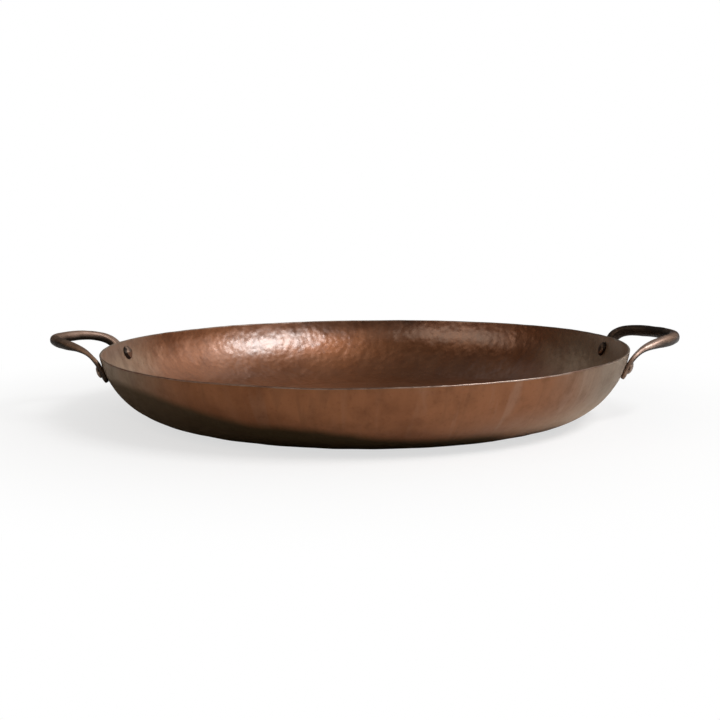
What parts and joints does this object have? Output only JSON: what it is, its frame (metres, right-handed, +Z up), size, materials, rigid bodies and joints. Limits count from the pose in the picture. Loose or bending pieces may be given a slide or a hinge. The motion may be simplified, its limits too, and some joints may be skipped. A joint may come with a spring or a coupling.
{
  "type": "serving tray",
  "caption": "Round dished tray of hammered copper with a straight-rimmed curved side and a riveted loop handle at each end.",
  "frame": {"origin": "centre of the underside of the flat base", "axes": "+Z up along the tray's axis, the two handles along X, symmetric about the XZ and YZ planes"},
  "size_m": [0.4798, 0.4, 0.0623],
  "materials": {
    "hammered_copper": "hammered copper with a dark brown patina, semi-gloss",
    "forged_copper": "forged copper with a dark brown patina, semi-gloss",
    "rivet_copper": "hammered rivet heads with a dark brown patina, semi-gloss"
  },
  "bodies": {
    "root": {"tray_bowl": "hammered_copper", "right_handle": "forged_copper", "left_handle": "forged_copper", "right_front_rivet": "rivet_copper", "right_rear_rivet": "rivet_copper", "left_front_rivet": "rivet_copper", "left_rear_rivet": "rivet_copper"}
  },
  "joints": []
}
